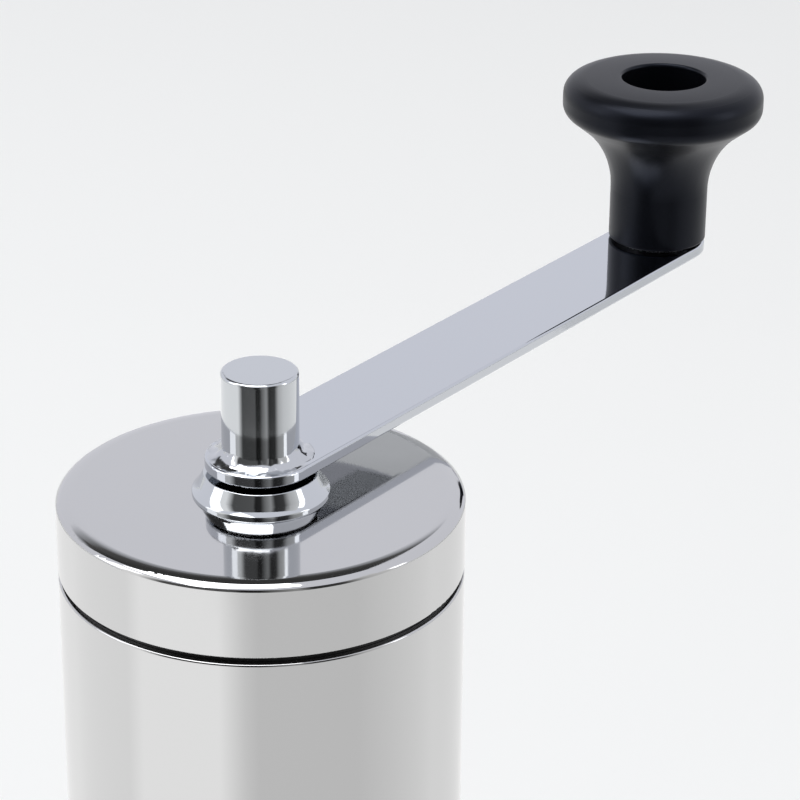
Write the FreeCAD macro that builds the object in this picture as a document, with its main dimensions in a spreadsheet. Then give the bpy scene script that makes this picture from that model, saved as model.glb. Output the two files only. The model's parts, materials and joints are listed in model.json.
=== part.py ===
import FreeCAD, Part
import math
import os
import types

import Sketcher

# Manual coffee grinder of slim cylindrical form.
# A drawn steel cup catches the coffee and a steel tube above it holds the beans. A moulding in the
# tube's lower end carries a pair of ceramic cone burrs, and a bridge in its upper end forms the neck
# that the lid slides over. A steel shaft runs down the axis. Its hexagonal end takes the crank, and
# its lower end turns the inner burr, which a star nut raises or lowers.
# The axis is Z, the base stands at Z = 0, and the crank's arm points along +X. Sizes are millimetres.

SHEET = "Sizes"
DIMENSIONS = (
    ("body_radius", 24.5, "outside of the cup, the tube and the lid"),
    ("steel_wall", 0.8, "thickness of the drawn steel"),
    ("slide_gap", 0.08, "radial gap between a steel wall and the moulding it slides over"),
    ("bearing_gap", 0.05, "radial or end gap of a turning fit"),
    ("fit_gap", 0.02, "radial gap of a pressed fit"),
    ("cup_height", 62.0, "height of the cup that catches the coffee"),
    ("cup_edge_radius", 2.0, "outside rounding of the cup's foot"),
    ("lip_radius", 0.3, "rounding of cut steel edges"),
    ("shell_base", 62.1, "height of the tube's lower edge"),
    ("shell_top", 149.8, "height of the tube's upper edge"),
    ("shell_lip_radius", 0.25, "rounding of the tube's upper edge"),
    ("lid_gap", 0.8, "visible gap between the tube and the lid"),
    ("lid_height", 9.4, "height of the lid"),
    ("lid_edge_radius", 0.45, "tight rounding where the lid's skirt turns inward"),
    ("lid_edge_turn", 38.0, "how far that rounding turns, in degrees"),
    ("lid_rim_radius", 1.2, "wider rounding from there over the rim"),
    ("lid_shoulder_radius", 5.0, "very wide rounding between the rim and the flat top"),
    ("lid_shoulder_slope", 16.0, "slope of that rounding's outer end, in degrees"),
    ("collar_radius", 8.3, "collar on the lid, at its foot"),
    ("collar_height", 2.6, "collar above the lid"),
    ("collar_foot_height", 0.2, "upright edge of the collar's foot"),
    ("collar_foot_radius", 0.25, "rounding above that edge"),
    ("collar_foot_slope", 42.0, "slope of the foot where the hollow flare starts, in degrees"),
    ("collar_flare_radius", 3.0, "hollow flare above the foot"),
    ("collar_side_slope", 62.0, "slope of the collar's side above the flare, in degrees"),
    ("collar_spigot_radius", 4.55, "spigot that passes through the lid"),
    ("collar_rivet_radius", 5.4, "rolled edge of the spigot under the lid"),
    ("shaft_radius", 3.5, "shaft in its bushes"),
    ("shaft_end_radius", 3.0, "flatted and threaded end of the shaft"),
    ("shaft_flats", 4.8, "distance across the two flats"),
    ("shaft_bottom", 50.5, "height of the threaded end"),
    ("shaft_step", 86.5, "height where the thick part of the shaft starts"),
    ("hexagon_flats", 5.5, "shaft hexagon, across flats"),
    ("hexagon_length", 9.7, "shaft hexagon above its shoulder"),
    ("socket_gap", 0.05, "gap between hexagon and socket, at each flat"),
    ("arm_gap", 0.7, "gap between the collar and the arm"),
    ("arm_length", 89.0, "shaft axis to knob axis"),
    ("arm_width", 13.4, "width of the flat crank arm"),
    ("arm_thickness", 1.5, "thickness of the crank arm"),
    ("arm_edge_radius", 0.3, "polished rounding along the arm"),
    ("post_radius", 4.65, "closed socket welded on the arm"),
    ("post_height", 10.8, "socket above the arm"),
    ("post_cap", 1.9, "closed end of the socket"),
    ("post_edge_radius", 0.4, "rounding of the socket's top edge"),
    ("bead_height", 2.5, "weld bead up the socket"),
    ("bead_width", 1.75, "weld bead along the arm"),
    ("knob_height", 23.6, "top of the knob above the arm"),
    ("knob_barrel_radius", 6.76, "barrel of the knob"),
    ("knob_flange_radius", 13.8, "widest part of the knob"),
    ("knob_flare_start", 7.7, "height above the arm where the flare starts"),
    ("knob_flare_radius", 11.4, "hollow curve of the flare"),
    ("knob_flare_angle", 52.0, "lean of the flare's upper end from the axis, in degrees"),
    ("knob_under_radius", 2.0, "rounding under the flange"),
    ("knob_edge_radius", 2.2, "rounding of the flange's upper edge"),
    ("knob_edge_slope", 25.0, "slope of that rounding's upper end, in degrees"),
    ("knob_shoulder_radius", 5.0, "wider rounding from there to the crown"),
    ("knob_crown_slope", 4.0, "slope of the crown's outer end, in degrees"),
    ("knob_bore_radius", 5.75, "hole in the knob's top"),
    ("knob_floor", 8.2, "bottom of that hole above the arm"),
    ("knob_lip_radius", 0.4, "rounding of the hole's mouth"),
    ("axle_radius", 2.5, "axle that the knob turns on"),
    ("axle_head_radius", 4.5, "head of the axle"),
    ("axle_head_height", 2.1, "height of the axle's head"),
    ("axle_spigot_radius", 2.0, "end of the axle in the arm"),
    ("axle_rivet_radius", 3.1, "peened end under the arm"),
    ("axle_rivet_height", 0.7, "height of the peened end"),
    ("knob_washer_radius", 5.4, "washer under the knob"),
    ("knob_washer_thickness", 0.3, "washer under the knob"),
    ("bridge_base", 136.0, "lower edge of the upper bridge"),
    ("bridge_wall", 1.42, "wall of the bridge's ring"),
    ("hub_radius", 6.5, "hub round a bush"),
    ("hub_height", 10.0, "height of the upper hub"),
    ("spoke_width", 4.0, "width of a spoke"),
    ("spoke_height", 6.0, "height of a spoke in the upper bridge"),
    ("spoke_count", 3, "spokes in each bridge"),
    ("spoke_reach", 22.9, "outer end of a spoke, inside the ring's wall"),
    ("bush_radius", 5.0, "outside of a bush"),
    ("bush_flange_radius", 6.2, "flange of the upper bush"),
    ("bush_flange_height", 1.0, "flange of the upper bush"),
    ("thrust_washer_thickness", 0.55, "washer on the upper bush"),
    ("clip_thickness", 0.8, "retaining clip"),
    ("clip_radius", 5.5, "outside of the clip"),
    ("clip_groove_radius", 3.0, "bottom of the clip's groove"),
    ("housing_base", 52.0, "lower edge of the moulding that plugs into the cup"),
    ("housing_top", 98.0, "upper edge of that moulding"),
    ("housing_wall", 1.72, "wall of its outer skirt"),
    ("funnel_top_radius", 22.6, "bean funnel, at its top"),
    ("funnel_bend_radius", 20.2, "bean funnel, at its bend"),
    ("funnel_bend_height", 85.5, "height of that bend"),
    ("throat_radius", 13.2, "throat over the burrs"),
    ("throat_height", 80.2, "height of the throat's upper edge"),
    ("burr_outer_radius", 18.0, "outside of the fixed burr"),
    ("burr_base", 64.0, "lower face of the fixed burr"),
    ("burr_height", 14.0, "height of the fixed burr"),
    ("seat_wall", 1.65, "wall round the fixed burr"),
    ("lower_hub_radius", 6.0, "hub round the lower bush"),
    ("lower_hub_base", 88.0, "lower face of that hub"),
    ("lower_hub_height", 9.0, "height of that hub"),
    ("rib_count", 6, "ribs between the seat and the skirt"),
    ("rib_width", 1.2, "width of such a rib"),
    ("seal_base", 55.5, "lower edge of the seal's groove"),
    ("seal_height", 2.0, "height of the seal's groove"),
    ("seal_depth", 1.2, "depth of the seal's groove"),
    ("holder_inner_radius", 16.9, "ring under the fixed burr, inside"),
    ("holder_radius", 20.1, "ring under the fixed burr, outside"),
    ("holder_base", 60.5, "ring under the fixed burr, lower face"),
    ("lug_count", 3, "bayonet lugs"),
    ("lug_width", 9.0, "width of a bayonet lug"),
    ("lug_height", 2.0, "height of a bayonet lug"),
    ("lug_reach", 21.2, "outer end of a bayonet lug"),
    ("ledge_reach", 20.3, "inner end of the ledge under a lug"),
    ("cone_top_radius", 8.4, "turning burr, at its top"),
    ("cone_bend_radius", 12.6, "turning burr, where its fine teeth start"),
    ("cone_radius", 15.7, "turning burr, at its foot"),
    ("cone_base", 63.4, "turning burr, lower face"),
    ("cone_top", 77.0, "turning burr, upper face"),
    ("land_inner_radius", 13.2, "fixed burr, where its fine teeth start"),
    ("land_outer_radius", 16.2, "fixed burr, at its foot"),
    ("mouth_radius", 12.5, "fixed burr, at its top"),
    ("coarse_teeth", 8, "deep grooves of a burr"),
    ("fine_teeth", 32, "shallow grooves of a burr"),
    ("core_flats", 11.0, "hexagon of the turning burr's core, across flats"),
    ("core_flange_radius", 9.0, "flange of that core"),
    ("core_flange_height", 3.2, "flange of that core"),
    ("core_recess", 2.0, "recess in the burr's foot for that flange"),
    ("detent_count", 12, "click notches under the core"),
    ("spring_wire_radius", 0.5, "wire of the burr spring"),
    ("spring_radius", 4.6, "mean radius of the burr spring"),
    ("spring_turns", 4.5, "turns of the burr spring"),
    ("spring_washer_thickness", 0.6, "washer over the spring"),
    ("nut_radius", 11.0, "star nut"),
    ("nut_base", 53.0, "star nut, lower face"),
    ("nut_grip_height", 7.0, "star nut, height of its grip"),
    ("nut_neck_radius", 8.0, "star nut, neck under the core"),
    ("nut_lobes", 8, "finger hollows round the star nut"),
    ("nut_hollow_radius", 2.8, "radius of a finger hollow"),
    ("insert_flats", 10.0, "brass insert, across flats"),
    ("insert_height", 7.3, "brass insert"),
)
LEFT = 1
RIGHT = -1


class Size:
    """A length that carries both its number and the sheet formula behind it."""

    def __init__(self, value, formula):
        self.value = value
        self.formula = formula

    def __add__(self, other):
        other = as_size(other)
        return Size(self.value + other.value, f"({self.formula} + {other.formula})")

    def __sub__(self, other):
        other = as_size(other)
        return Size(self.value - other.value, f"({self.formula} - {other.formula})")

    def __mul__(self, other):
        other = as_size(other)
        return Size(self.value * other.value, f"({self.formula} * {other.formula})")

    def __truediv__(self, other):
        other = as_size(other)
        return Size(self.value / other.value, f"({self.formula} / {other.formula})")


def as_size(number):
    if isinstance(number, Size):
        return number
    return Size(float(number), repr(float(number)))


def sine(angle):
    return Size(math.sin(math.radians(angle.value)), f"sin({angle.formula})")


def cosine(angle):
    return Size(math.cos(math.radians(angle.value)), f"cos({angle.formula})")


def tangent(angle):
    return Size(math.tan(math.radians(angle.value)), f"tan({angle.formula})")


def root(size):
    return Size(math.sqrt(size.value), f"sqrt({size.formula})")


def make_sheet(doc):
    """Fill the sheet with the driving dimensions and return them by name."""
    sheet = doc.addObject("Spreadsheet::Sheet", SHEET)
    named = {}
    for row, (alias, value, note) in enumerate(DIMENSIONS, start=1):
        sheet.set(f"A{row}", alias)
        sheet.set(f"B{row}", str(value))
        sheet.set(f"C{row}", note)
        sheet.setAlias(f"B{row}", alias)
        named[alias] = Size(float(value), f"{SHEET}.{alias}")
    doc.recompute()
    return types.SimpleNamespace(**named)


doc = FreeCAD.newDocument("CoffeeGrinder")
d = make_sheet(doc)
bodies = []

# Radii and heights that several pieces share
wall_inside = d.body_radius - d.steel_wall
neck_radius = wall_inside - d.slide_gap
lid_base = d.shell_top + d.lid_gap
lid_top = lid_base + d.lid_height
lid_underside = lid_top - d.steel_wall
collar_top = lid_top + d.collar_height
arm_base = collar_top + d.arm_gap
arm_top = arm_base + d.arm_thickness
half_arm = d.arm_width / 2
bush_bore = d.shaft_radius + d.bearing_gap
hub_bore = d.bush_radius + d.fit_gap
bridge_hub_top = d.bridge_base + d.hub_height
upper_bush_top = bridge_hub_top + d.bush_flange_height
washer_base = upper_bush_top + d.bearing_gap
clip_base = washer_base + d.thrust_washer_thickness
skirt_inside = neck_radius - d.housing_wall
burr_top = d.burr_base + d.burr_height
core_base = d.cone_base + d.core_recess - d.core_flange_height - 0.1
core_shoulder = core_base + d.core_flange_height
core_top = d.cone_top + 0.6
spring_washer_base = d.lower_hub_base - d.bearing_gap - d.spring_washer_thickness


def new_body(label):
    body = doc.addObject("PartDesign::Body", label)
    body.Label = label
    bodies.append(body)
    return body


def origin_feature(body, role):
    for feature in body.Origin.OriginFeatures:
        if feature.Role == role:
            return feature
    raise ValueError(role)


def new_sketch(body, name, plane):
    sketch = body.newObject("Sketcher::SketchObject", f"{body.Label}_{name}")
    sketch.AttachmentSupport = [(origin_feature(body, plane), "")]
    sketch.MapMode = "FlatFace"
    return sketch


def pin_point(sketch, geometry, end, across, up):
    """Hold one end of a line or arc at its coordinates, bound to the sheet."""
    for kind, size, axis in (("DistanceX", across, -2), ("DistanceY", up, -1)):
        if size.value == 0.0:
            sketch.addConstraint(Sketcher.Constraint("PointOnObject", geometry, end, axis))
            continue
        index = sketch.addConstraint(Sketcher.Constraint(kind, -1, 1, geometry, end, size.value))
        sketch.setExpression(f"Constraints[{index}]", size.formula)


def arc_between(start, end, radius, turn):
    """Arc of under half a circle from start to end, and whether it runs counterclockwise."""
    chord = end - start
    half = chord.Length / 2
    aside = FreeCAD.Vector(-chord.y, chord.x, 0).normalize()
    reach = math.sqrt(max(radius * radius - half * half, 0.0))
    centre = start + chord * 0.5 + aside * (reach * turn)
    first, last = (start, end) if turn == LEFT else (end, start)
    first_angle = math.atan2(first.y - centre.y, first.x - centre.x)
    last_angle = math.atan2(last.y - centre.y, last.x - centre.x)
    if last_angle < first_angle:
        last_angle += 2 * math.pi
    circle = Part.Circle(centre, FreeCAD.Vector(0, 0, 1), radius)
    return Part.ArcOfCircle(circle, first_angle, last_angle)


def draw_outline(sketch, steps):
    """Draw a closed outline. A step is (across, up) for a line that ends there,
    or (across, up, radius, turn) for an arc that ends there."""
    steps = [(as_size(step[0]), as_size(step[1])) + tuple(step[2:]) for step in steps]
    ends = []
    for index, step in enumerate(steps):
        before = steps[index - 1]
        start = FreeCAD.Vector(before[0].value, before[1].value, 0)
        end = FreeCAD.Vector(step[0].value, step[1].value, 0)
        if len(step) == 2:
            geometry = sketch.addGeometry(Part.LineSegment(start, end), False)
            ends.append((geometry, 1, 2))
            continue
        radius = as_size(step[2])
        geometry = sketch.addGeometry(arc_between(start, end, radius.value, step[3]), False)
        ends.append((geometry, 1, 2) if step[3] == LEFT else (geometry, 2, 1))
        constraint = sketch.addConstraint(Sketcher.Constraint("Radius", geometry, radius.value))
        sketch.setExpression(f"Constraints[{constraint}]", radius.formula)
    for index, (geometry, _, last) in enumerate(ends):
        following, first, _ = ends[(index + 1) % len(ends)]
        sketch.addConstraint(Sketcher.Constraint("Coincident", geometry, last, following, first))
        pin_point(sketch, geometry, last, steps[index][0], steps[index][1])


def turned(label, steps):
    """A piece of revolution about the Z axis, from its outline of radii and heights."""
    body = new_body(label)
    sketch = new_sketch(body, "profile", "XZ_Plane")
    draw_outline(sketch, steps)
    feature = body.newObject("PartDesign::Revolution", f"{label}_turned")
    feature.Profile = sketch
    feature.ReferenceAxis = (sketch, ["V_Axis"])
    feature.Angle = 360
    body.Tip = feature
    doc.recompute()
    return body


def add_primitive(body, kind, name, sizes, place=(0, 0, 0), tilt=None):
    """Add or cut a primitive that stands on the XY plane at place, tilted about its own corner."""
    feature = body.newObject(f"PartDesign::{kind}", f"{body.Label}_{name}")
    for size_name, size in sizes.items():
        feature.setExpression(size_name, as_size(size).formula)
    feature.AttachmentSupport = [(origin_feature(body, "XY_Plane"), "")]
    feature.MapMode = "FlatFace"
    if tilt is not None:
        feature.AttachmentOffset = FreeCAD.Placement(FreeCAD.Vector(), tilt)
    for axis, size in zip("xyz", place):
        feature.setExpression(f".AttachmentOffset.Base.{axis}", as_size(size).formula)
    body.Tip = feature
    doc.recompute()
    return feature


def add_cylinder(body, name, radius, base, height, cut=False, place=(0, 0)):
    kind = "SubtractiveCylinder" if cut else "AdditiveCylinder"
    return add_primitive(body, kind, name, {"Radius": radius, "Height": height}, (*place, base))


def add_block(body, name, start, size, cut=False, tilt=None):
    kind = "SubtractiveBox" if cut else "AdditiveBox"
    sizes = {"Length": size[0], "Width": size[1], "Height": size[2]}
    return add_primitive(body, kind, name, sizes, start, tilt)


def add_hexagon(body, name, flats, base, height, cut=False):
    kind = "SubtractivePrism" if cut else "AdditivePrism"
    feature = add_primitive(
        body, kind, name, {"Circumradius": as_size(flats) / root(as_size(3)), "Height": height}, (0, 0, base)
    )
    feature.Polygon = 6
    doc.recompute()
    return feature


def repeat_round(body, feature, count):
    """Repeat a feature evenly round the Z axis."""
    pattern = body.newObject("PartDesign::PolarPattern", f"{feature.Name}_ring")
    pattern.Originals = [feature]
    pattern.Axis = (origin_feature(body, "Z_Axis"), [""])
    pattern.Angle = 360
    pattern.setExpression("Occurrences", count.formula)
    body.Tip = pattern
    doc.recompute()
    return pattern


def spokes(body, base, height):
    """Three spokes from the axis out into the ring's wall."""
    half_width = d.spoke_width / 2
    spoke = add_block(
        body, "spoke", (0, as_size(0) - half_width, base), (d.spoke_reach, d.spoke_width, height)
    )
    repeat_round(body, spoke, d.spoke_count)


def washer(label, base, thickness, inner, outer):
    return turned(
        label,
        (
            (inner, base),
            (outer, base),
            (outer, base + thickness),
            (inner, base + thickness),
        ),
    )


def container_cup():
    edge = d.cup_edge_radius
    inner_edge = edge - d.steel_wall
    lip = d.lip_radius
    turned(
        "container_cup",
        (
            (0, 0),
            (d.body_radius - edge, 0),
            (d.body_radius, edge, edge, LEFT),
            (d.body_radius, d.cup_height - lip),
            (d.body_radius - lip, d.cup_height, lip, LEFT),
            (wall_inside, d.cup_height),
            (wall_inside, d.steel_wall + inner_edge),
            (wall_inside - inner_edge, d.steel_wall, inner_edge, RIGHT),
            (0, d.steel_wall),
        ),
    )


def hopper_shell():
    lip = d.lip_radius
    top_lip = d.shell_lip_radius
    turned(
        "hopper_shell",
        (
            (wall_inside, d.shell_base),
            (d.body_radius - lip, d.shell_base),
            (d.body_radius, d.shell_base + lip, lip, LEFT),
            (d.body_radius, d.shell_top - top_lip),
            (d.body_radius - top_lip, d.shell_top, top_lip, LEFT),
            (wall_inside, d.shell_top),
        ),
    )


def bearing_bridge():
    """Upper moulding: the neck for the lid, three spokes and the hub of the upper bush."""
    inner = neck_radius - d.bridge_wall
    lead = 0.5
    top = lid_underside - 0.1
    body = turned(
        "bearing_bridge",
        (
            (inner, d.bridge_base),
            (neck_radius - lead, d.bridge_base),
            (neck_radius, d.bridge_base + lead),
            (neck_radius, top - lead),
            (neck_radius - lead, top),
            (inner, top),
        ),
    )
    spokes(body, d.bridge_base, d.spoke_height)
    add_cylinder(body, "hub", d.hub_radius, d.bridge_base, d.hub_height)
    add_cylinder(body, "hub_bore", hub_bore, d.bridge_base, d.hub_height, cut=True)


def bushes():
    turned(
        "upper_bush",
        (
            (bush_bore, d.bridge_base),
            (d.bush_radius, d.bridge_base),
            (d.bush_radius, bridge_hub_top),
            (d.bush_flange_radius, bridge_hub_top),
            (d.bush_flange_radius, upper_bush_top),
            (bush_bore, upper_bush_top),
        ),
    )
    washer("lower_bush", d.lower_hub_base, d.lower_hub_height, bush_bore, d.bush_radius)


def burr_housing():
    """Lower moulding: bean funnel, lower hub, seat of the fixed burr and the plug into the cup."""
    seat = d.burr_outer_radius + d.bearing_gap
    seat_outside = seat + d.seat_wall
    ceiling = burr_top + 0.1
    underside = ceiling + 4.4
    seat_foot = d.burr_base + 0.2
    groove = neck_radius - d.seal_depth
    seal_top = d.seal_base + d.seal_height
    body = turned(
        "burr_housing",
        (
            (skirt_inside, d.housing_base),
            (neck_radius, d.housing_base),
            (neck_radius, d.seal_base),
            (groove, d.seal_base),
            (groove, seal_top),
            (neck_radius, seal_top),
            (neck_radius, d.housing_top),
            (d.funnel_top_radius, d.housing_top),
            (d.funnel_bend_radius, d.funnel_bend_height),
            (d.throat_radius, d.throat_height),
            (d.throat_radius, ceiling),
            (seat, ceiling),
            (seat, seat_foot),
            (seat_outside, seat_foot),
            (seat_outside, underside),
            (skirt_inside, underside),
        ),
    )
    spokes(body, d.lower_hub_base + 0.5, d.lower_hub_height - 1.0)
    add_cylinder(body, "hub", d.lower_hub_radius, d.lower_hub_base, d.lower_hub_height)
    add_cylinder(body, "hub_bore", hub_bore, d.lower_hub_base, d.lower_hub_height, cut=True)
    bite = 0.3
    rib_start = seat_outside - bite
    rib = add_block(
        body,
        "rib",
        (rib_start, as_size(0) - d.rib_width / 2, seat_foot),
        (skirt_inside + bite - rib_start, d.rib_width, underside + bite - seat_foot),
    )
    repeat_round(body, rib, d.rib_count)
    ledge_top = d.holder_base - 0.1
    ledge = add_block(
        body,
        "ledge",
        (d.ledge_reach, as_size(0) - d.lug_width / 2, ledge_top - d.lug_height),
        (skirt_inside + bite - d.ledge_reach, d.lug_width, d.lug_height),
    )
    repeat_round(body, ledge, d.lug_count)


def container_seal():
    side_gap = 0.05
    washer(
        "container_seal",
        d.seal_base + side_gap,
        d.seal_height - side_gap * 2,
        neck_radius - d.seal_depth + side_gap,
        wall_inside - side_gap,
    )


def burr_holder():
    """Ring that bayonets under the fixed burr."""
    top = d.burr_base - d.bearing_gap
    body = washer("burr_holder", d.holder_base, top - d.holder_base, d.holder_inner_radius, d.holder_radius)
    lug = add_block(
        body,
        "lug",
        (d.holder_radius - 0.5, as_size(0) - d.lug_width / 2, d.holder_base),
        (d.lug_reach - d.holder_radius + 0.5, d.lug_width, d.lug_height),
    )
    repeat_round(body, lug, d.lug_count)
    grip = add_cylinder(
        body, "grip", 1.2, d.holder_base, 1.5, cut=True, place=(d.holder_inner_radius - 0.2, 0)
    )
    repeat_round(body, grip, d.rib_count)


def outer_burr():
    """Fixed ceramic burr: deep slanting grooves above, fine teeth on the flare below."""
    bend_height = d.burr_base + d.land_outer_radius - d.land_inner_radius
    body = turned(
        "outer_burr",
        (
            (d.land_outer_radius, d.burr_base),
            (d.burr_outer_radius, d.burr_base),
            (d.burr_outer_radius, burr_top),
            (d.mouth_radius, burr_top),
            (d.land_inner_radius, bend_height),
        ),
    )
    slant = FreeCAD.Rotation(FreeCAD.Vector(1, 0, 0), 24)
    coarse = add_block(
        body, "coarse", (d.mouth_radius - 1.5, 1.6, bend_height), (3.2, 2.2, d.burr_height + 2), True, slant
    )
    repeat_round(body, coarse, d.coarse_teeth)
    flare = FreeCAD.Rotation(FreeCAD.Vector(0, 1, 0), -45)
    fine = add_block(
        body, "fine", (d.land_outer_radius - 0.2, -0.5, d.burr_base - 1), (1.0, 0.9, 6.2), True, flare
    )
    repeat_round(body, fine, d.fine_teeth)


def inner_burr():
    """Turning ceramic cone, with the same two sets of teeth and a hexagonal hole for its core."""
    foot = d.cone_base + 0.6
    bend_height = foot + d.cone_radius - d.cone_bend_radius
    recess_top = d.cone_base + d.core_recess
    recess_radius = d.core_flange_radius + 0.1
    body = turned(
        "inner_burr",
        (
            (0, recess_top),
            (recess_radius, recess_top),
            (recess_radius, d.cone_base),
            (d.cone_radius, d.cone_base),
            (d.cone_radius, foot),
            (d.cone_bend_radius, bend_height),
            (d.cone_top_radius, d.cone_top),
            (0, d.cone_top),
        ),
    )
    slant = FreeCAD.Rotation(FreeCAD.Vector(0, 1, 0), -23) * FreeCAD.Rotation(FreeCAD.Vector(1, 0, 0), -28)
    coarse = add_block(
        body, "coarse", (d.cone_bend_radius - 0.6, -3.6, bend_height - 0.5), (3.0, 2.4, 15), True, slant
    )
    repeat_round(body, coarse, d.coarse_teeth)
    flare = FreeCAD.Rotation(FreeCAD.Vector(0, 1, 0), -45)
    fine = add_block(
        body, "fine", (d.cone_radius - 0.2, -0.4, foot - 0.9), (1.0, 0.8, 5.6), True, flare
    )
    repeat_round(body, fine, d.fine_teeth)
    add_hexagon(body, "core_hole", d.core_flats + 0.1, recess_top, d.cone_top - recess_top, cut=True)


def flatted_hole(body, base, depth):
    """Cut the two-flat hole that slides on the shaft's end."""
    radius = d.shaft_end_radius + d.bearing_gap
    half_flats = d.shaft_flats / 2 + d.bearing_gap
    corner = root(radius * radius - half_flats * half_flats)
    nothing = as_size(0)
    sketch = new_sketch(body, "hole", "XY_Plane")
    sketch.setExpression(".AttachmentOffset.Base.z", base.formula)
    draw_outline(
        sketch,
        (
            (corner, nothing - half_flats),
            (corner, half_flats, radius, LEFT),
            (nothing - corner, half_flats),
            (nothing - corner, nothing - half_flats, radius, LEFT),
        ),
    )
    pocket = body.newObject("PartDesign::Pocket", f"{body.Label}_hole_cut")
    pocket.Profile = sketch
    pocket.Reversed = True
    pocket.setExpression("Length", depth.formula)
    body.Tip = pocket
    doc.recompute()


def burr_carrier():
    """Plastic core of the turning burr, which slides on the shaft's flats."""
    body = washer("burr_carrier", core_base, d.core_flange_height, as_size(0), d.core_flange_radius)
    add_hexagon(body, "boss", d.core_flats, core_shoulder, core_top - core_shoulder)
    flatted_hole(body, core_base, core_top - core_base)
    notch = add_cylinder(body, "notch", 0.7, core_base, 0.4, cut=True, place=(d.nut_neck_radius - 1.6, 0))
    repeat_round(body, notch, d.detent_count)


def drive_shaft():
    chamfer = 0.5
    groove_top = clip_base + d.clip_thickness + d.bearing_gap
    hexagon_corner = d.hexagon_flats / root(as_size(3))
    top = arm_base + d.hexagon_length
    body = turned(
        "drive_shaft",
        (
            (0, d.shaft_bottom),
            (d.shaft_end_radius - chamfer, d.shaft_bottom),
            (d.shaft_end_radius, d.shaft_bottom + chamfer),
            (d.shaft_end_radius, d.shaft_step),
            (d.shaft_radius, d.shaft_step),
            (d.shaft_radius, clip_base),
            (d.clip_groove_radius, clip_base),
            (d.clip_groove_radius, groove_top),
            (d.shaft_radius, groove_top),
            (d.shaft_radius, arm_base),
            (hexagon_corner, arm_base),
            (hexagon_corner, top - chamfer),
            (hexagon_corner - chamfer, top),
            (0, top),
        ),
    )
    reach = 8.0
    flat = add_block(
        body,
        "flat",
        (-reach / 2, d.shaft_flats / 2, d.shaft_bottom - 1),
        (reach, 2, d.shaft_step - d.shaft_bottom + 1),
        cut=True,
    )
    repeat_round(body, flat, as_size(2))
    side = add_block(
        body, "side", (-reach / 2, d.hexagon_flats / 2, arm_base), (reach, 2, d.hexagon_length + 1), cut=True
    )
    repeat_round(body, side, as_size(6))


def shaft_clip():
    """Retaining clip that holds the shaft up on the thrust washer, open on one side."""
    inner = d.clip_groove_radius + d.fit_gap
    body = washer("shaft_clip", clip_base + 0.03, d.clip_thickness - 0.06, inner, d.clip_radius)
    opening = 4.6
    add_block(body, "opening", (0, -opening / 2, clip_base - 1), (8, opening, 3), cut=True)


def thrust_washer():
    thickness = d.thrust_washer_thickness - d.fit_gap
    washer("thrust_washer", washer_base, thickness, d.shaft_radius + 0.1, d.bush_flange_radius - 0.2)


def spring_washer():
    inner = d.shaft_radius + d.bearing_gap
    washer("spring_washer", spring_washer_base, d.spring_washer_thickness, inner, d.lower_hub_radius)


def tangent_arcs(start, start_way, end, end_way):
    """Two arcs that join two points and leave along the two given directions."""
    across = end - start
    ways = start_way + end_way
    square = 2 * (start_way.dot(end_way) - 1)
    linear = -2 * across.dot(ways)
    constant = across.dot(across)
    reach = (-linear - math.sqrt(linear * linear - 4 * square * constant)) / (2 * square)
    if reach < 0:
        reach = (-linear + math.sqrt(linear * linear - 4 * square * constant)) / (2 * square)
    first_corner = start + start_way * reach
    last_corner = end - end_way * reach
    middle = (first_corner + last_corner) * 0.5
    arcs = []
    for one, corner, other in ((start, first_corner, middle), (middle, last_corner, end)):
        chord_middle = (one + other) * 0.5
        to_corner = corner - chord_middle
        half_chord = (other - one).Length / 2
        half_turn = math.atan2(to_corner.Length, half_chord)
        rise = half_chord * math.tan(half_turn / 2)
        crown = chord_middle + to_corner.normalize() * rise
        arcs.append(Part.Arc(one, crown, other).toShape())
    return arcs


def least_gap(points, wire_diameter, points_per_turn):
    """Smallest clear distance between turns, measured on points of the centre line."""
    gap = None
    for index, point in enumerate(points):
        for other in points[index + points_per_turn // 2:]:
            clear = (point - other).Length - wire_diameter
            if gap is None or clear < gap:
                gap = clear
    return gap


def burr_spring():
    """Coil spring that presses the turning burr down on its nut, one unbroken round wire."""
    wire = d.spring_wire_radius.value
    radius = d.spring_radius.value
    bottom = core_top.value + wire + 0.05
    top = spring_washer_base.value - wire - 0.05
    pitch = (top - bottom) / d.spring_turns.value
    quarters = round(d.spring_turns.value * 4)
    climb = pitch / (2 * math.pi)

    def point_at(quarter):
        angle = quarter * math.pi / 2
        return FreeCAD.Vector(
            radius * math.cos(angle), radius * math.sin(angle), bottom + pitch * quarter / 4
        )

    def way_at(quarter):
        angle = quarter * math.pi / 2
        way = FreeCAD.Vector(-radius * math.sin(angle), radius * math.cos(angle), climb)
        return way.normalize()

    edges = []
    for quarter in range(quarters):
        edges += tangent_arcs(
            point_at(quarter), way_at(quarter), point_at(quarter + 1), way_at(quarter + 1)
        )
    path = Part.Wire(edges)
    section = Part.Wire([Part.makeCircle(wire, point_at(0), way_at(0))])
    shape = path.makePipeShell([section], True, False)
    spring = doc.addObject("Part::Feature", "burr_spring")
    spring.Label = "burr_spring"
    spring.Shape = shape
    spring.Placement = FreeCAD.Placement()
    bodies.append(spring)
    points = [point_at(step / 6) for step in range(quarters * 6 + 1)]
    print("spring length", round(path.Length, 2), "least gap", round(least_gap(points, wire * 2, 24), 2))


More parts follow.
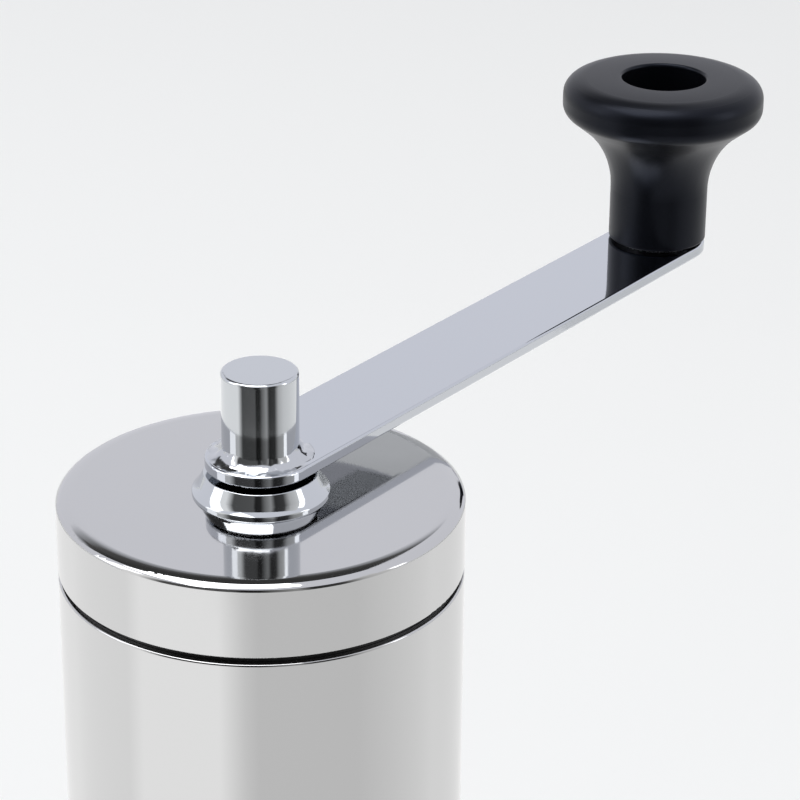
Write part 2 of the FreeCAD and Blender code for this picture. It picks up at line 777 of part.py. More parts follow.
def adjust_nut():
    """Star nut under the turning burr, with its brass insert."""
    top = core_base - 0.1
    body = washer("adjust_nut", d.nut_base, top - d.nut_base, as_size(0), d.nut_neck_radius)
    add_cylinder(body, "grip", d.nut_radius, d.nut_base, d.nut_grip_height)
    hollow = add_cylinder(
        body,
        "hollow",
        d.nut_hollow_radius,
        d.nut_base - 1,
        d.nut_grip_height + 1,
        cut=True,
        place=(d.nut_radius + d.nut_hollow_radius - 1.5, 0),
    )
    repeat_round(body, hollow, d.nut_lobes)
    add_hexagon(body, "insert_seat", d.insert_flats + 0.04, d.nut_base, d.insert_height + 0.2, cut=True)
    add_cylinder(body, "bore", d.shaft_end_radius + 0.3, d.nut_base, top - d.nut_base, cut=True)
    insert = new_body("nut_insert")
    add_hexagon(insert, "blank", d.insert_flats, d.nut_base + 0.2, d.insert_height)
    add_cylinder(
        insert, "bore", d.shaft_end_radius + d.bearing_gap, d.nut_base, d.insert_height + 1, cut=True
    )


def lid_cap():
    """Drawn lid: straight skirt, a rim rounded in three steps that grow wider, and a flat top."""
    edge = 0.25
    inner_edge = 0.5
    tight = d.lid_edge_radius
    rim = d.lid_rim_radius
    shoulder = d.lid_shoulder_radius
    turn = d.lid_edge_turn
    slope = d.lid_shoulder_slope
    rim_outer = d.body_radius - tight * (as_size(1) - cosine(turn))
    shoulder_outer = rim_outer - rim * (cosine(turn) - sine(slope))
    shoulder_base = lid_top - shoulder * (as_size(1) - cosine(slope))
    rim_base = shoulder_base - rim * (cosine(slope) - sine(turn))
    hole = d.collar_spigot_radius + d.bearing_gap
    turned(
        "lid_cap",
        (
            (wall_inside, lid_base),
            (d.body_radius - edge, lid_base),
            (d.body_radius, lid_base + edge, edge, LEFT),
            (d.body_radius, rim_base - tight * sine(turn)),
            (rim_outer, rim_base, tight, LEFT),
            (shoulder_outer, shoulder_base, rim, LEFT),
            (shoulder_outer - shoulder * sine(slope), lid_top, shoulder, LEFT),
            (hole, lid_top),
            (hole, lid_underside),
            (wall_inside - inner_edge, lid_underside),
            (wall_inside, lid_underside - inner_edge, inner_edge, RIGHT),
        ),
    )


def lid_collar():
    """Turned collar riveted through the middle of the lid, which steadies the shaft."""
    bore = d.shaft_radius + 0.1
    top_edge = as_size(0.17)
    lead = 0.5
    foot = d.collar_foot_slope
    side = d.collar_side_slope
    round_top = lid_top + d.collar_foot_height + d.collar_foot_radius * cosine(foot)
    round_outer = d.collar_radius - d.collar_foot_radius * (as_size(1) - sine(foot))
    flare_top = round_top + d.collar_flare_radius * (cosine(foot) - cosine(side))
    flare_outer = round_outer - d.collar_flare_radius * (sine(side) - sine(foot))
    side_top = collar_top - top_edge * (as_size(1) - cosine(side))
    side_outer = flare_outer - (side_top - flare_top) / tangent(side)
    rivet_top = lid_underside - 0.05
    turned(
        "lid_collar",
        (
            (bore, rivet_top - 0.8),
            (d.collar_rivet_radius, rivet_top - 0.8),
            (d.collar_rivet_radius, rivet_top),
            (d.collar_spigot_radius, rivet_top),
            (d.collar_spigot_radius, lid_top),
            (d.collar_radius, lid_top),
            (d.collar_radius, lid_top + d.collar_foot_height),
            (round_outer, round_top, d.collar_foot_radius, LEFT),
            (flare_outer, flare_top, d.collar_flare_radius, RIGHT),
            (side_outer, side_top),
            (side_outer - top_edge * sine(side), collar_top, top_edge, LEFT),
            (bore + lead, collar_top),
            (bore, collar_top - lead),
        ),
    )


def crank_arm():
    """Flat bar with a round end at the shaft and another under the knob."""
    body = new_body("crank_arm")
    nothing = as_size(0)
    sketch = new_sketch(body, "outline", "XY_Plane")
    sketch.setExpression(".AttachmentOffset.Base.z", arm_base.formula)
    draw_outline(
        sketch,
        (
            (d.arm_length, nothing - half_arm),
            (d.arm_length + half_arm, 0, half_arm, LEFT),
            (d.arm_length, half_arm, half_arm, LEFT),
            (0, half_arm),
            (nothing - half_arm, 0, half_arm, LEFT),
            (0, nothing - half_arm, half_arm, LEFT),
        ),
    )
    bar = body.newObject("PartDesign::Pad", "crank_arm_bar")
    bar.Profile = sketch
    bar.setExpression("Length", d.arm_thickness.formula)
    body.Tip = bar
    doc.recompute()
    rounded = body.newObject("PartDesign::Fillet", "crank_arm_rounded")
    flat_faces = []
    for index, face in enumerate(bar.Shape.Faces, start=1):
        if face.BoundBox.ZLength < 1e-6:
            flat_faces.append(f"Face{index}")
    rounded.Base = (bar, flat_faces)
    rounded.setExpression("Radius", d.arm_edge_radius.formula)
    body.Tip = rounded
    doc.recompute()
    hexagon = d.hexagon_flats + d.socket_gap * 2
    add_hexagon(body, "socket", hexagon, arm_base, d.arm_thickness, cut=True)
    hole = d.axle_spigot_radius + d.fit_gap
    add_cylinder(body, "axle_hole", hole, arm_base, d.arm_thickness, cut=True, place=(d.arm_length, 0))


def socket_post():
    """Closed hexagonal socket that stands on the arm."""
    edge = d.post_edge_radius
    top = arm_top + d.post_height
    body = turned(
        "socket_post",
        (
            (0, arm_top),
            (d.post_radius, arm_top),
            (d.post_radius, top - edge),
            (d.post_radius - edge, top, edge, LEFT),
            (0, top),
        ),
    )
    hexagon = d.hexagon_flats + d.socket_gap * 2
    add_hexagon(body, "socket", hexagon, arm_top, d.post_height - d.post_cap, cut=True)


def weld_bead():
    inner = d.post_radius + 0.01
    foot = 0.15
    turned(
        "weld_bead",
        (
            (inner, arm_top),
            (inner + d.bead_width, arm_top),
            (inner + d.bead_width, arm_top + foot),
            (inner + foot, arm_top + d.bead_height, d.bead_height * 1.3, RIGHT),
            (inner, arm_top + d.bead_height),
        ),
    )


def move_to_knob(body):
    """Stand a piece that was turned about the Z axis on the knob's axis."""
    body.setExpression(".Placement.Base.x", d.arm_length.formula)


def knob_axle():
    """Shouldered rivet: head in the knob's hole, thin end peened over under the arm."""
    head_base = arm_top + d.knob_floor + 0.1
    head_top = head_base + d.axle_head_height
    head_edge = 1.2
    rivet_edge = 0.5
    rivet_base = arm_base - d.axle_rivet_height
    body = turned(
        "knob_axle",
        (
            (0, rivet_base),
            (d.axle_rivet_radius - rivet_edge, rivet_base),
            (d.axle_rivet_radius, rivet_base + rivet_edge, rivet_edge, LEFT),
            (d.axle_rivet_radius, arm_base),
            (d.axle_spigot_radius, arm_base),
            (d.axle_spigot_radius, arm_top),
            (d.axle_radius, arm_top),
            (d.axle_radius, head_base),
            (d.axle_head_radius, head_base),
            (d.axle_head_radius, head_top - head_edge),
            (d.axle_head_radius - head_edge, head_top, head_edge, LEFT),
            (0, head_top),
        ),
    )
    slot = 1.0
    add_block(body, "slot", (-6, -slot / 2, head_top - slot), (12, slot, slot + 1), cut=True)
    move_to_knob(body)


def knob_washer():
    inner = d.axle_radius + 0.1
    body = washer("knob_washer", arm_top, d.knob_washer_thickness, inner, d.knob_washer_radius)
    move_to_knob(body)


def knob():
    """Mushroom knob: barrel, hollow flare, crowned flange and a deep hole for the axle's head."""
    bore = d.axle_radius + 0.06
    base = arm_top + d.knob_washer_thickness + d.bearing_gap
    top = arm_top + d.knob_height
    foot = 0.3
    angle = d.knob_flare_angle
    spread = as_size(1) - cosine(angle)
    flare_base = arm_top + d.knob_flare_start
    flare_radius = d.knob_barrel_radius + d.knob_flare_radius * spread
    flare_top = flare_base + d.knob_flare_radius * sine(angle)
    under_radius = d.knob_flange_radius - d.knob_under_radius * spread
    under_base = flare_top + (under_radius - flare_radius) / tangent(angle)
    under_top = under_base + d.knob_under_radius * sine(angle)
    lip = d.knob_lip_radius
    mouth = d.knob_bore_radius + lip
    slope = d.knob_edge_slope
    crown = d.knob_crown_slope
    shoulder_outer = d.knob_flange_radius - d.knob_edge_radius * (as_size(1) - sine(slope))
    crown_outer = shoulder_outer - d.knob_shoulder_radius * (sine(slope) - sine(crown))
    crown_radius = (crown_outer - mouth) / sine(crown)
    crown_edge = top - crown_radius * (as_size(1) - cosine(crown))
    shoulder_base = crown_edge - d.knob_shoulder_radius * (cosine(crown) - cosine(slope))
    edge_base = shoulder_base - d.knob_edge_radius * cosine(slope)
    floor = arm_top + d.knob_floor
    body = turned(
        "knob",
        (
            (bore, base),
            (d.knob_barrel_radius - foot, base),
            (d.knob_barrel_radius, base + foot, foot, LEFT),
            (d.knob_barrel_radius, flare_base),
            (flare_radius, flare_top, d.knob_flare_radius, RIGHT),
            (under_radius, under_base),
            (d.knob_flange_radius, under_top, d.knob_under_radius, LEFT),
            (d.knob_flange_radius, edge_base),
            (shoulder_outer, shoulder_base, d.knob_edge_radius, LEFT),
            (crown_outer, crown_edge, d.knob_shoulder_radius, LEFT),
            (mouth, top, crown_radius, LEFT),
            (d.knob_bore_radius, top - lip, lip, LEFT),
            (d.knob_bore_radius, floor),
            (bore, floor),
        ),
    )
    move_to_knob(body)


def check(body):
    """Stop if a piece failed, is empty or isn't one valid solid."""
    objects = [body] + list(getattr(body, "Group", []))
    for item in objects:
        if "Invalid" in item.State or "Error" in item.State:
            raise RuntimeError(f"{item.Name}: {item.State}")
    shape = body.Shape
    if shape.isNull() or not shape.isValid() or len(shape.Solids) != 1:
        raise RuntimeError(f"{body.Label}: not one valid solid")


container_cup()
hopper_shell()
bearing_bridge()
bushes()
burr_housing()
container_seal()
burr_holder()
outer_burr()
inner_burr()
burr_carrier()
drive_shaft()
shaft_clip()
thrust_washer()
spring_washer()
burr_spring()
adjust_nut()
lid_cap()
lid_collar()
crank_arm()
socket_post()
weld_bead()
knob_axle()
knob_washer()
knob()

doc.recompute()
for body in bodies:
    check(body)
os.makedirs("parts", exist_ok=True)
for body in bodies:
    body.Shape.exportStep(f"parts/{body.Label}.step")
    box = body.Shape.BoundBox
    print(f"{body.Label:16s} volume {body.Shape.Volume:9.1f}  z {box.ZMin:7.2f} to {box.ZMax:7.2f}")
print(len(bodies), "pieces")
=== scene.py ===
# %% [markdown]
# # A manual coffee grinder with a steel crank
#
# The grinder was built first as an assembly of exact pieces, and that assembly is loaded here as a
# fixed frame. Its pieces stay where they are. This script gives each of them the surface of its real
# material, adds a lumpy weld and a coil spring, and sets up a small studio.
#
# Everything is in metres. The shaft is the Z axis, the cup stands at Z = 0, and the crank points
# along +X.

import json
import math

import bpy
from mathutils import Matrix, Vector


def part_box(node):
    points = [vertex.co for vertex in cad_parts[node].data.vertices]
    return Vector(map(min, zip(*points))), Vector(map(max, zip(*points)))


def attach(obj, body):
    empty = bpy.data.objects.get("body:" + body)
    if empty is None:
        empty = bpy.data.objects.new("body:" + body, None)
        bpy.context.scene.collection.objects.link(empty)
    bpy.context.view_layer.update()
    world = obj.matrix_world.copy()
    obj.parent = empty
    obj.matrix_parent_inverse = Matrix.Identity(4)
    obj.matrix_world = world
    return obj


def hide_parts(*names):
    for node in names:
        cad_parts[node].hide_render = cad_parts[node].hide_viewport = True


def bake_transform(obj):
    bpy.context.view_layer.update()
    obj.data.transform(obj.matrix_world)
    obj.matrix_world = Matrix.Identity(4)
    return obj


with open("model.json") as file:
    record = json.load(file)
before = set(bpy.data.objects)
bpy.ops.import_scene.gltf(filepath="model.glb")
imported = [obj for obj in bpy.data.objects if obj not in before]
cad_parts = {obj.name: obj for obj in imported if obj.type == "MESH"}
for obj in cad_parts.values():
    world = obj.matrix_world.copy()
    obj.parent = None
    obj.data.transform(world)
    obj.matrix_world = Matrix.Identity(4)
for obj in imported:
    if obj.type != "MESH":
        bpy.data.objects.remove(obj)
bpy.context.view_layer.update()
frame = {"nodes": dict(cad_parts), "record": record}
MM = 0.001

# %% [markdown]
# ## Helpers for materials
#
# Colours are written as sRGB hex values, as a paint chart or an image editor gives them. Blender
# calculates in linear light, so one function converts them. A second function adds a shader node,
# sets its properties and fills its inputs with numbers or with links from other nodes. That keeps
# each material below short enough to read from top to bottom. Two more open a material and close it.

# %% Colour and node helpers
def linear(hex_colour):
    """Turn an sRGB hex colour into linear red, green, blue and alpha."""
    channels = [int(hex_colour[i:i + 2], 16) / 255 for i in (1, 3, 5)]
    bright = [c / 12.92 if c <= 0.04045 else ((c + 0.055) / 1.055) ** 2.4 for c in channels]
    return (*bright, 1.0)


def add_node(tree, kind, inputs=None, **settings):
    """Add a node, set its properties, and fill its inputs with values or links."""
    node = tree.nodes.new(kind)
    for name, value in settings.items():
        setattr(node, name, value)
    for name, value in (inputs or {}).items():
        if isinstance(value, bpy.types.NodeSocket):
            tree.links.new(value, node.inputs[name])
        else:
            node.inputs[name].default_value = value
    return node


def start_material(name):
    """Make an empty material and return it with its node tree."""
    material = bpy.data.materials.new(name)
    material.use_nodes = True
    material.node_tree.nodes.clear()
    print("material:", name)
    return material, material.node_tree


def finish_material(tree, shader):
    """Join the shader to the material's surface."""
    add_node(tree, "ShaderNodeOutputMaterial", {"Surface": shader.outputs["BSDF"]})


materials = {}
print("steel grey in linear light:", [round(c, 3) for c in linear("#C2C2C2")[:3]])

# %% [markdown]
# ## Mirror-polished stainless steel
#
# The tube, the cup and the lid are drawn from 0.8 mm stainless sheet and buffed to a mirror. Such
# steel has almost no colour of its own: it shows the room, a little darker. Three small faults keep
# it from looking like an ideal mirror. Drawing leaves the sheet faintly wavy over a few centimetres,
# buffing leaves hair-thin lines that run round the axis, and hands leave patches of haze. Waves and
# lines are bumps, far too low to feel. The haze is a change of roughness.
#
# The real buffing lines are about 0.05 mm apart. They're drawn 0.35 mm apart here, because finer
# ones would vanish between the pixels.

# %% Mirror-polished steel
WAVE_LENGTH = 28 * MM
WAVE_HEIGHT = 0.03 * MM
BUFF_LINE = 0.35 * MM
BUFF_HEIGHT = 0.0006 * MM
HAZE_PATCH = 6 * MM

polished, tree = start_material("stainless steel, mirror polished")
place = add_node(tree, "ShaderNodeTexCoord")
waves = add_node(tree, "ShaderNodeTexNoise", {
    "Vector": place.outputs["Object"], "Scale": 1 / WAVE_LENGTH, "Detail": 1.0,
})
wavy = add_node(tree, "ShaderNodeBump", {
    "Height": waves.outputs["Fac"], "Strength": 1.0, "Distance": WAVE_HEIGHT,
})
stretched = add_node(tree, "ShaderNodeMapping", {
    "Vector": place.outputs["Object"], "Scale": (0.02, 0.02, 1.0),
})
lines = add_node(tree, "ShaderNodeTexNoise", {
    "Vector": stretched.outputs["Vector"], "Scale": 1 / BUFF_LINE, "Detail": 2.0,
})
buffed = add_node(tree, "ShaderNodeBump", {
    "Height": lines.outputs["Fac"], "Normal": wavy.outputs["Normal"],
    "Strength": 1.0, "Distance": BUFF_HEIGHT,
})
haze = add_node(tree, "ShaderNodeTexNoise", {
    "Vector": place.outputs["Object"], "Scale": 1 / HAZE_PATCH, "Detail": 4.0,
})
haze_range = add_node(tree, "ShaderNodeMapRange", {
    "Value": haze.outputs["Fac"], "From Min": 0.35, "From Max": 0.7, "To Min": 0.045, "To Max": 0.085,
})
shader = add_node(tree, "ShaderNodeBsdfPrincipled", {
    "Base Color": linear("#C2C2C2"), "Metallic": 1.0,
    "Roughness": haze_range.outputs["Result"], "Normal": buffed.outputs["Normal"],
})
finish_material(tree, shader)
materials["polished_steel"] = polished

# %% [markdown]
# ## Turned, stamped, welded and drawn steel
#
# The collar, the socket, the shaft and the knob's axle are turned on a lathe and then polished, so
# their fine grooves run round each one's own axis. The crank arm is stamped from strip and tumbled
# with ceramic chips until it is almost a mirror: what is left is a faint mottling without a direction.
# The weld is grainier. The spring's wire is cold drawn, the washers are stamped from cold-rolled
# strip, and both are left as they come, a little darker.
#
# The grooves are drawn 0.25 mm apart. A lathe cuts them closer, but then they wouldn't show. Turned
# brass comes later and differs only in colour, gloss and depth, so one function makes both.

# %% Turned steel
TOOL_MARK = 0.25 * MM


def turned_metal(name, colour, roughness, groove_height):
    """Metal off a lathe, with fine grooves round its upright axis."""
    material, tree = start_material(name)
    place = add_node(tree, "ShaderNodeTexCoord")
    stretched = add_node(tree, "ShaderNodeMapping", {
        "Vector": place.outputs["Object"], "Scale": (0.03, 0.03, 1.0),
    })
    marks = add_node(tree, "ShaderNodeTexNoise", {
        "Vector": stretched.outputs["Vector"], "Scale": 1 / TOOL_MARK, "Detail": 3.0,
    })
    grooves = add_node(tree, "ShaderNodeBump", {
        "Height": marks.outputs["Fac"], "Strength": 1.0, "Distance": groove_height,
    })
    shader = add_node(tree, "ShaderNodeBsdfPrincipled", {
        "Base Color": linear(colour), "Metallic": 1.0, "Roughness": roughness,
        "Normal": grooves.outputs["Normal"],
    })
    finish_material(tree, shader)
    return material


materials["turned_steel"] = turned_metal(
    "stainless steel, turned and polished", "#C3C6C9", 0.055, 0.0008 * MM
)

# %% Tumbled strip steel for the arm
CHIP_MARK = 1.2 * MM
CHIP_DEPTH = 0.0006 * MM

tumbled, tree = start_material("stainless steel strip, tumbled")
place = add_node(tree, "ShaderNodeTexCoord")
chips = add_node(tree, "ShaderNodeTexNoise", {
    "Vector": place.outputs["Object"], "Scale": 1 / CHIP_MARK, "Detail": 2.0,
})
dents = add_node(tree, "ShaderNodeBump", {
    "Height": chips.outputs["Fac"], "Strength": 1.0, "Distance": CHIP_DEPTH,
})
chip_range = add_node(tree, "ShaderNodeMapRange", {
    "Value": chips.outputs["Fac"], "From Min": 0.3, "From Max": 0.7, "To Min": 0.03, "To Max": 0.06,
})
shader = add_node(tree, "ShaderNodeBsdfPrincipled", {
    "Base Color": linear("#C1C4C9"), "Metallic": 1.0,
    "Roughness": chip_range.outputs["Result"], "Normal": dents.outputs["Normal"],
})
finish_material(tree, shader)
materials["arm_steel"] = tumbled

# %% Weld metal
WELD_GRAIN = 0.5 * MM
WELD_GRAIN_HEIGHT = 0.012 * MM

weld, tree = start_material("stainless weld metal, brushed")
place = add_node(tree, "ShaderNodeTexCoord")
grain = add_node(tree, "ShaderNodeTexNoise", {
    "Vector": place.outputs["Object"], "Scale": 1 / WELD_GRAIN, "Detail": 3.0,
})
rough = add_node(tree, "ShaderNodeBump", {
    "Height": grain.outputs["Fac"], "Strength": 1.0, "Distance": WELD_GRAIN_HEIGHT,
})
shader = add_node(tree, "ShaderNodeBsdfPrincipled", {
    "Base Color": linear("#BFC1C4"), "Metallic": 1.0, "Roughness": 0.1,
    "Normal": rough.outputs["Normal"],
})
finish_material(tree, shader)
materials["weld_steel"] = weld

# %% Spring wire and washers
ROLL_MARK = 0.4 * MM

spring, tree = start_material("stainless spring steel, cold drawn")
place = add_node(tree, "ShaderNodeTexCoord")
scale = add_node(tree, "ShaderNodeTexNoise", {
    "Vector": place.outputs["Object"], "Scale": 1 / ROLL_MARK, "Detail": 2.0,
})
scale_range = add_node(tree, "ShaderNodeMapRange", {
    "Value": scale.outputs["Fac"], "To Min": 0.2, "To Max": 0.34,
})
shader = add_node(tree, "ShaderNodeBsdfPrincipled", {
    "Base Color": linear("#ABACAF"), "Metallic": 1.0, "Roughness": scale_range.outputs["Result"],
})
finish_material(tree, shader)
materials["spring_steel"] = spring

# %% [markdown]
# ## Moulded plastics
#
# The neck, the burr housing and the nut are black polypropylene out of a spark-eroded mould: its
# grain, about 0.3 mm across, breaks a highlight into a soft satin. The knob is a harder plastic with
# a finer grain, so its highlights are tighter, and its gloss is weak. A faint blue tint is painted
# into its reflections. The bushes are natural acetal, which is slippery and milky white, and light
# passes a little way into it.

# %% Black plastics
def moulded_black(name, colour, grain_size, grain_depth, roughness, gloss=0.5, painted_reflection_tint="#FFFFFF"):
    """Black plastic with a mould grain of the given size and depth, and a tint painted into its
    reflections.
    """
    material, tree = start_material(name)
    place = add_node(tree, "ShaderNodeTexCoord")
    grain = add_node(tree, "ShaderNodeTexNoise", {
        "Vector": place.outputs["Object"], "Scale": 1 / grain_size, "Detail": 2.0,
    })
    texture = add_node(tree, "ShaderNodeBump", {
        "Height": grain.outputs["Fac"], "Strength": 1.0, "Distance": grain_depth,
    })
    shader = add_node(tree, "ShaderNodeBsdfPrincipled", {
        "Base Color": linear(colour), "Roughness": roughness, "Specular IOR Level": gloss,
        "Specular Tint": linear(painted_reflection_tint), "Normal": texture.outputs["Normal"],
    })
    finish_material(tree, shader)
    return material


materials["black_plastic"] = moulded_black(
    "polypropylene, black, spark-eroded grain", "#131314", 0.3 * MM, 0.006 * MM, 0.42
)
# The knob's blue reflection tint is painted: it stands for a bluish surrounding, not the plastic's colour.
materials["knob_plastic"] = moulded_black(
    "nylon, black, fine grain", "#08090D", 0.22 * MM, 0.003 * MM, 0.33, gloss=0.19, painted_reflection_tint="#D4DEFA"
)

# %% Acetal bushes
ACETAL_CLOUD = 3 * MM
ACETAL_GLOW_DEPTH = 1.0 * MM

acetal, tree = start_material("acetal, natural")
place = add_node(tree, "ShaderNodeTexCoord")
cloud = add_node(tree, "ShaderNodeTexNoise", {
    "Vector": place.outputs["Object"], "Scale": 1 / ACETAL_CLOUD, "Detail": 2.0,
})
tint = add_node(tree, "ShaderNodeMix", {
    0: cloud.outputs["Fac"], 6: linear("#E4E1D8"), 7: linear("#EEECE5"),
}, data_type="RGBA")
shader = add_node(tree, "ShaderNodeBsdfPrincipled", {
    "Base Color": tint.outputs[2], "Roughness": 0.35, "IOR": 1.48,
    "Subsurface Weight": 0.2, "Subsurface Scale": ACETAL_GLOW_DEPTH,
})
finish_material(tree, shader)
materials["acetal"] = acetal

# %% [markdown]
# ## Silicone, ceramic and brass
#
# The seal is grey silicone rubber, which is soft, slightly see-through and dull. The burrs are
# sintered ceramic: white, fine-grained and hard, with small pores instead of a glaze. The nut's
# insert is turned from free-cutting brass.

# %% Silicone seal
DUST_SPECK = 0.6 * MM
SILICONE_GLOW_DEPTH = 0.8 * MM

silicone, tree = start_material("silicone rubber, grey")
place = add_node(tree, "ShaderNodeTexCoord")
dust = add_node(tree, "ShaderNodeTexNoise", {
    "Vector": place.outputs["Object"], "Scale": 1 / DUST_SPECK, "Detail": 3.0,
})
dull = add_node(tree, "ShaderNodeMapRange", {
    "Value": dust.outputs["Fac"], "To Min": 0.42, "To Max": 0.62,
})
shader = add_node(tree, "ShaderNodeBsdfPrincipled", {
    "Base Color": linear("#8E9093"), "Roughness": dull.outputs["Result"], "IOR": 1.41,
    "Subsurface Weight": 0.3, "Subsurface Scale": SILICONE_GLOW_DEPTH,
})
finish_material(tree, shader)
materials["seal_silicone"] = silicone

# %% Ceramic burrs
PORE = 0.35 * MM
PORE_DEPTH = 0.02 * MM

ceramic, tree = start_material("sintered ceramic, unglazed")
place = add_node(tree, "ShaderNodeTexCoord")
pores = add_node(tree, "ShaderNodeTexVoronoi", {
    "Vector": place.outputs["Object"], "Scale": 1 / PORE,
})
speckle = add_node(tree, "ShaderNodeMapRange", {
    "Value": pores.outputs["Distance"], "From Min": 0.0, "From Max": 0.3,
})
tint = add_node(tree, "ShaderNodeMix", {
    0: speckle.outputs["Result"], 6: linear("#C9C5BB"), 7: linear("#E2DFD7"),
}, data_type="RGBA")
pitted = add_node(tree, "ShaderNodeBump", {
    "Height": speckle.outputs["Result"], "Strength": 0.6, "Distance": PORE_DEPTH,
})
shader = add_node(tree, "ShaderNodeBsdfPrincipled", {
    "Base Color": tint.outputs[2], "Roughness": 0.38, "IOR": 1.6, "Normal": pitted.outputs["Normal"],
})
finish_material(tree, shader)
materials["burr_ceramic"] = ceramic

# %% Brass insert
materials["insert_brass"] = turned_metal("brass, turned", "#D8B46A", 0.22, 0.003 * MM)

# %% [markdown]
# ## Each piece gets its material
#
# Every piece of the assembly has slots for materials, and the assembly's record says what each piece
# is made of. A loop can therefore fill all the slots, and no piece is forgotten.

# %% Put the materials on the pieces
for part in frame["record"]["subparts"]:
    piece = frame["nodes"][part["node"]]
    for slot in piece.material_slots:
        slot.material = materials[part["material_slot"]]
print("materials:", ", ".join(sorted(materials)))

# %% [markdown]
# ## The weld round the socket
#
# The socket is welded to the arm all round by hand and then buffed. What is left is a hollow fillet
# that flows from the socket into the arm, a little lumpy where the torch paused. It could be modelled
# by pushing the vertices of a ring about, but then every lump is a separate decision. A Geometry
# Nodes tree states the rule instead: take the outline of the fillet, sweep it round the socket, and
# push its surface in and out with some noise. The outline is a curve that the script draws from three
# sizes. The result stands for the assembly's plain fillet.

# %% Outline of the fillet
SOCKET_RADIUS = 4.65 * MM
FILLET_LEG = 1.75 * MM
FILLET_HEIGHT = 2.1 * MM
BURIED = 0.15 * MM
print("fillet:", round(FILLET_LEG / MM, 2), "mm wide,", round(FILLET_HEIGHT / MM, 2), "mm high")


def fillet_outline(steps=14):
    """A closed outline with a hollow side, drawn upside down because the sweep turns it over."""
    points = [(-BURIED, -BURIED), (FILLET_LEG, -BURIED)]
    for step in range(steps + 1):
        turn = math.radians(90) * step / steps
        across = FILLET_LEG - (FILLET_LEG + BURIED) * math.sin(turn)
        points.append((across, FILLET_HEIGHT * (1 - math.cos(turn))))
    curve = bpy.data.curves.new("fillet outline", "CURVE")
    curve.dimensions = "2D"
    curve.fill_mode = "NONE"
    outline = curve.splines.new("POLY")
    outline.points.add(len(points) - 1)
    outline.use_cyclic_u = True
    for point, (across, up) in zip(outline.points, reversed(points)):
        point.co = (across, -up, 0, 1)
    return curve


# %% Rule for the fillet
LUMP_SIZE = 1.8 * MM
LUMP_HEIGHT = 0.4 * MM
RING_STEPS = 180


def fillet_tree():
    """Sweep the outline round the socket and push the surface out in lumps."""
    tree = bpy.data.node_groups.new("Weld fillet", "GeometryNodeTree")
    tree.interface.new_socket("Outline", in_out="INPUT", socket_type="NodeSocketGeometry")
    sizes = {
        "Ring radius": SOCKET_RADIUS, "Lump size": LUMP_SIZE, "Lump height": LUMP_HEIGHT, "Base": 0.0,
    }
    for name, value in sizes.items():
        socket = tree.interface.new_socket(name, in_out="INPUT", socket_type="NodeSocketFloat")
        socket.default_value = value
    tree.interface.new_socket("Geometry", in_out="OUTPUT", socket_type="NodeSocketGeometry")
    given = add_node(tree, "NodeGroupInput")
    ring = add_node(tree, "GeometryNodeCurvePrimitiveCircle", {
        "Resolution": RING_STEPS, "Radius": given.outputs["Ring radius"],
    })
    swept = add_node(tree, "GeometryNodeCurveToMesh", {
        "Curve": ring.outputs["Curve"], "Profile Curve": given.outputs["Outline"],
    })
    place = add_node(tree, "GeometryNodeInputPosition")
    fineness = add_node(tree, "ShaderNodeMath", {0: 1.0, 1: given.outputs["Lump size"]}, operation="DIVIDE")
    lumps = add_node(tree, "ShaderNodeTexNoise", {
        "Vector": place.outputs["Position"], "Scale": fineness.outputs["Value"], "Detail": 1.5,
    })
    centred = add_node(tree, "ShaderNodeMath", {0: lumps.outputs["Fac"], 1: 0.5}, operation="SUBTRACT")
    push = add_node(tree, "ShaderNodeMath", {
        0: centred.outputs["Value"], 1: given.outputs["Lump height"],
    }, operation="MULTIPLY")
    outward = add_node(tree, "GeometryNodeInputNormal")
    offset = add_node(tree, "ShaderNodeVectorMath", {
        0: outward.outputs["Normal"], "Scale": push.outputs["Value"],
    }, operation="SCALE")
    lumpy = add_node(tree, "GeometryNodeSetPosition", {
        "Geometry": swept.outputs["Mesh"], "Offset": offset.outputs["Vector"],
    })
    height = add_node(tree, "ShaderNodeCombineXYZ", {"Z": given.outputs["Base"]})
    raised = add_node(tree, "GeometryNodeTransform", {
        "Geometry": lumpy.outputs["Geometry"], "Translation": height.outputs["Vector"],
    })
    real = add_node(tree, "GeometryNodeRealizeInstances", {"Geometry": raised.outputs["Geometry"]})
    coloured = add_node(tree, "GeometryNodeSetMaterial", {
        "Geometry": real.outputs["Geometry"], "Material": materials["weld_steel"],
    })
    add_node(tree, "NodeGroupOutput", {"Geometry": coloured.outputs["Geometry"]})
    return tree


fillet_rule = fillet_tree()
print("fillet rule:", len(fillet_rule.nodes), "nodes")

# %% Make the fillet a mesh and put it on the crank
def mesh_from_tree(name, start, tree, values):
    """Run a Geometry Nodes tree on some geometry and keep its result as a plain mesh."""
    carrier = bpy.data.objects.new(name, start)
    bpy.context.scene.collection.objects.link(carrier)
    modifier = carrier.modifiers.new(name, "NODES")
    modifier.node_group = tree
    for item in tree.interface.items_tree:
        if item.in_out == "INPUT" and item.name in values:
            modifier[item.identifier] = values[item.name]
    shape = carrier.evaluated_get(bpy.context.evaluated_depsgraph_get())
    mesh = bpy.data.meshes.new_from_object(shape)
    bpy.data.objects.remove(carrier)
    piece = bpy.data.objects.new(name, mesh)
    bpy.context.scene.collection.objects.link(piece)
    return piece


arm_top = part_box("crank_arm")[1][2]
fillet = mesh_from_tree("welded_fillet", fillet_outline(), fillet_rule, {"Base": arm_top})
for polygon in fillet.data.polygons:
    polygon.use_smooth = True
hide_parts("weld_bead")
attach(fillet, "crank")
spread = [math.hypot(v.co.x, v.co.y) / MM for v in fillet.data.vertices]
heights = [(v.co.z - arm_top) / MM for v in fillet.data.vertices]
print("fillet radius", round(min(spread), 2), "to", round(max(spread), 2), "mm")
print("fillet height", round(min(heights), 2), "to", round(max(heights), 2), "mm")
